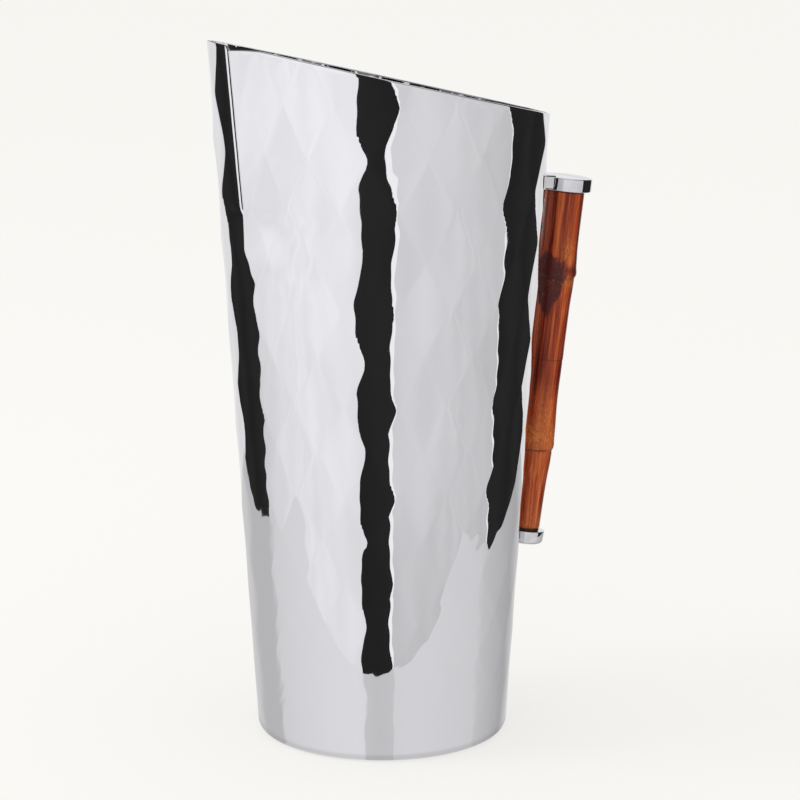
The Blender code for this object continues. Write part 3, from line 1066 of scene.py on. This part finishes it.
def make_card(name, columns, rows, place, tone):
    """A card seen only in reflections: a grid of points with a tone at each.

    place takes two numbers from 0 to 1, and tone takes the point that place gives. The card
    sheds no light and casts no shadow.
    """
    points, tones, faces = [], [], []
    for j in range(rows + 1):
        for i in range(columns + 1):
            point = place(i / columns, j / rows)
            points.append(tuple(studio(*point)))
            tones.append(tone(*point))
            if i < columns and j < rows:
                corner = j * (columns + 1) + i
                faces.append((corner, corner + 1, corner + columns + 2, corner + columns + 1))
    mesh = bpy.data.meshes.new(name)
    mesh.from_pydata(points, [], faces)
    mesh.attributes.new("tone", "FLOAT", "POINT").data.foreach_set("value", tones)
    mesh.materials.append(CARD_LIGHT)
    card = add_object(name, mesh)
    card.visible_camera = False
    card.visible_diffuse = False
    card.visible_shadow = False
    card.visible_transmission = False


CARD_HEIGHT = 0.62
CARD_EDGE = 0.265  # height at which the lit part ends and the band above it starts
BAND_TOP = 0.42
DARK_TONE = 0.020
GREY_BAND = 0.22
PALE_BAND = 1.00  # the upper cap mirrors this one
HIGH_TONE = 0.50  # above the band
CARD_COLUMNS = 24
CARD_ROWS = (  # heights of a card's rows, with sudden changes of tone between some
    *np.linspace(0.001, CARD_EDGE, 25), CARD_EDGE + 0.004, BAND_TOP, BAND_TOP + 0.01, CARD_HEIGHT,
)


def make_wall_card(name, start, end, tone, band):
    """A card that stands on the floor between two points of the plan.

    band is the tone of the stretch above its lit part, which the mouth's far side mirrors.
    """
    def place(i, j):
        """A spot between the two points, at one of the rows' heights."""
        up = CARD_ROWS[round(j * (len(CARD_ROWS) - 1))]
        return [a + (b - a) * i for a, b in zip(start, end)] + [up]

    def shaded(right, towards, up):
        """The tone below the edge, the band, and grey above it."""
        if up < CARD_EDGE + 0.001:
            return tone(right, towards, up)
        return band if up < BAND_TOP + 0.005 else HIGH_TONE

    make_card(name, CARD_COLUMNS, len(CARD_ROWS) - 1, place, shaded)


def bearing(right, towards):
    """Degrees round the body from the camera, positive to the right."""
    return np.degrees(atan2(right, towards))


def uneven(right, towards, up):
    """The soft unevenness of a lit paper card."""
    wave = sin(right * 145 + up * 85) + sin(towards * 125 - up * 105 + 1.0)
    return 1 + 0.022 * (wave + sin(right * 90 - up * 70))


def bright_tone(right, towards, up):
    """The brightest card, which darkens towards its far end."""
    away = abs(bearing(right, towards))
    far = float(np.interp(up, (0.05, 0.14), (0.80, 0.98)))
    tone = np.interp(away, (12, 22, 55, 75, 100), (0.98, 1.04, 1.05, 1.02, far))
    return float(tone) * (0.95 + 0.60 * up) * uneven(right, towards, up)


def grey_tone(right, towards, up):
    """The grey card opposite it, which darkens towards its foot in front."""
    away = abs(bearing(right, towards))
    tone = np.interp(away, (6, 20, 45, 65, 95), (0.83, 0.87, 0.83, 0.78, 0.68))
    dim = np.interp(up, (0.010, 0.030, 0.050, 0.075), (0.14, 0.11, 0.05, 0.0))
    dim = dim * np.interp(away, (38, 62), (1, 0))
    return float(tone * (1 - dim)) * (0.96 + 0.3 * up) * uneven(right, towards, up)


def edge_tone(right, towards, up):
    """The bright edge of the grey card, the same all over."""
    return 1.15


def pale_tone(right, towards, up):
    """The cards behind the body."""
    return 0.88 * uneven(right, towards, up)


def dark_tone(right, towards, up):
    """The dark gaps, with a faint sheen."""
    return DARK_TONE + 0.003 * (1 + sin(right * 60 + towards * 45 + up * 20))


def make_cards():
    """A tent of cards round the body: pale panels with dark gaps between them."""
    front, left, right, rear = 0.119, -0.268, 0.247, -0.310
    gap_left, gap_right = -0.0268, 0.0122
    left_split, right_split = -0.038, 0.008
    rear_left, rear_right = -0.268, -0.262
    rear_gap, rear_gap_end = -0.03, 0.02
    edge = 0.0035
    front_right = front + 0.008
    for side, start, stretches in (
        ("front", (left, front), (
            ("left", (gap_left, front), bright_tone, GREY_BAND),
            ("gap", (gap_right, front), dark_tone, DARK_TONE),
            ("edge", (gap_right + edge, front), edge_tone, DARK_TONE),
            ("right", (right, front_right), grey_tone, GREY_BAND),
        )),
        ("left", (left, front), (
            ("pale", (left, left_split), bright_tone, GREY_BAND),
            ("dark", (left, rear_left), dark_tone, DARK_TONE),
            ("rear", (left, rear), pale_tone, DARK_TONE),
        )),
        ("right", (right, front_right), (
            ("pale", (right, right_split + edge), grey_tone, GREY_BAND),
            ("edge", (right, right_split), edge_tone, DARK_TONE),
            ("dark", (right, rear_right), dark_tone, DARK_TONE),
            ("rear", (right, rear), pale_tone, DARK_TONE),
        )),
        ("rear", (left, rear), (
            ("left", (rear_gap, rear), pale_tone, GREY_BAND),
            ("gap", (rear_gap_end, rear), dark_tone, DARK_TONE),
            ("right", (right, rear), pale_tone, PALE_BAND),
        )),
    ):
        for stretch, end, tone, band in stretches:
            make_wall_card(side + "_" + stretch, start, end, tone, band)
            start = end


TABLE_TONES = (  # bearing in which it is mirrored, in degrees, and its tone
    (-180, 0.70), (-150, 0.70), (-138, 0.60), (-107, 0.63), (-104, 0.82), (-80, 0.88),
    (-50, 0.93), (-24, 0.95), (-16, 0.93), (-15, 0.74), (-4, 0.71), (10, 0.73), (11, 0.85),
    (22, 0.87), (45, 0.86), (60, 0.84), (78, 0.82), (93, 0.79), (97, 0.71), (120, 0.60), (142, 0.48),
    (150, 0.55), (165, 0.70), (180, 0.70),
)
TABLE_RINGS = (0.020, *np.linspace(0.0435, 0.075, 26), 0.085, 0.10, 0.13, 0.16, 0.22, 0.30, 0.90)
TABLE_COLUMNS = 720
MIRROR_RADIUS = wall_radius(30 * MM)
FOOT_REACH = 0.0455  # painted contact shadow on the table from here inwards, against the foot
FOOT_SHADE = 0.18


def mirrored_bearing(right, towards):
    """The bearing in which the wall mirrors a spot on the table, seen from the camera."""
    reach = max(sqrt(right ** 2 + towards ** 2), MIRROR_RADIUS)
    around = atan2(right, towards)
    turn = around / 2
    for _ in range(25):
        turn = (around + asin(MIRROR_RADIUS * sin(turn) / reach)) / 2
    return np.degrees(2 * turn)


def make_table_card():
    """The table as the wall mirrors it: a disc just above the floor, with a painted contact shadow
    against the foot.
    """
    def place(i, j):
        """Polar: round the body, and outwards."""
        turn, reach = radians(360 * i - 180), TABLE_RINGS[round(j * (len(TABLE_RINGS) - 1))]
        return reach * sin(turn), reach * cos(turn), 0.0003

    def tone(right, towards, up):
        """By the bearing in which the wall mirrors the spot, and darker against the foot: a painted
        contact shadow.
        """
        clear = smooth_step((sqrt(right ** 2 + towards ** 2) - FOOT_REACH) / 0.006)
        # Painted contact shadow: the table card darkens inside FOOT_REACH, against the foot.
        contact_shadow = 1 - FOOT_SHADE * (1 - clear)
        return float(np.interp(mirrored_bearing(right, towards), *zip(*TABLE_TONES)) * contact_shadow)

    make_card("table", TABLE_COLUMNS, len(TABLE_RINGS) - 1, place, tone)


def make_floor():
    """A large pale floor that shows only its upper side."""
    size = 9.0
    mesh = bpy.data.meshes.new("floor")
    mesh.from_pydata(
        [(-size, -size, 0), (size, -size, 0), (size, size, 0), (-size, size, 0)], [], [(0, 1, 2, 3)])
    made = Nodes("floor_paper", bare=True)
    paper = made.add("ShaderNodeBsdfDiffuse", {"Color": (0.30, 0.30, 0.30, 1)})
    shine = made.add("ShaderNodeEmission", {"Color": WARM_WHITE, "Strength": 0.685})
    both = made.add("ShaderNodeAddShader", {0: paper.outputs[0], 1: shine.outputs[0]})
    clear = made.add("ShaderNodeBsdfTransparent")
    side = made.add("ShaderNodeNewGeometry").outputs["Backfacing"]
    mix = made.add("ShaderNodeMixShader", {0: side, 1: both.outputs[0], 2: clear.outputs[0]})
    mesh.materials.append(made.output(mix.outputs[0]))
    add_object("floor", mesh)


def make_light():
    """A white surround and one large soft lamp above, to the left."""
    world = bpy.data.worlds.new("surround")
    world.use_nodes = True
    background = world.node_tree.nodes["Background"]
    background.inputs["Color"].default_value = WARM_WHITE
    background.inputs["Strength"].default_value = 1.0
    SCENE.world = world
    lamp = bpy.data.lights.new("soft_lamp", "AREA")
    lamp.shape = "DISK"
    lamp.size = 0.7
    lamp.energy = 5.0
    lamp_object = add_object("soft_lamp", lamp)
    lamp_object.location = studio(-1.2, 0.2, 0.9)
    aim = Vector((0, 0, 0.1)) - lamp_object.location
    lamp_object.rotation_euler = aim.to_track_quat("-Z", "Y").to_euler()
    lamp_object.visible_glossy = False
    lamp_object.visible_camera = False


def make_camera():
    """The camera of the main view."""
    data = bpy.data.cameras.new("camera")
    data.lens = CAMERA_LENS
    data.sensor_width = 36
    camera = add_object("camera", data)
    level = cos(CAMERA_RISE) * CAMERA_DISTANCE
    camera.location = studio(0, level, AIM_HEIGHT + sin(CAMERA_RISE) * CAMERA_DISTANCE)
    aim = studio(AIM_RIGHT, 0, AIM_HEIGHT) - camera.location
    camera.rotation_euler = aim.to_track_quat("-Z", "Y").to_euler()
    SCENE.camera = camera


make_cards()
make_table_card()
make_floor()
make_light()
make_camera()
SCENE.view_settings.view_transform = "Standard"
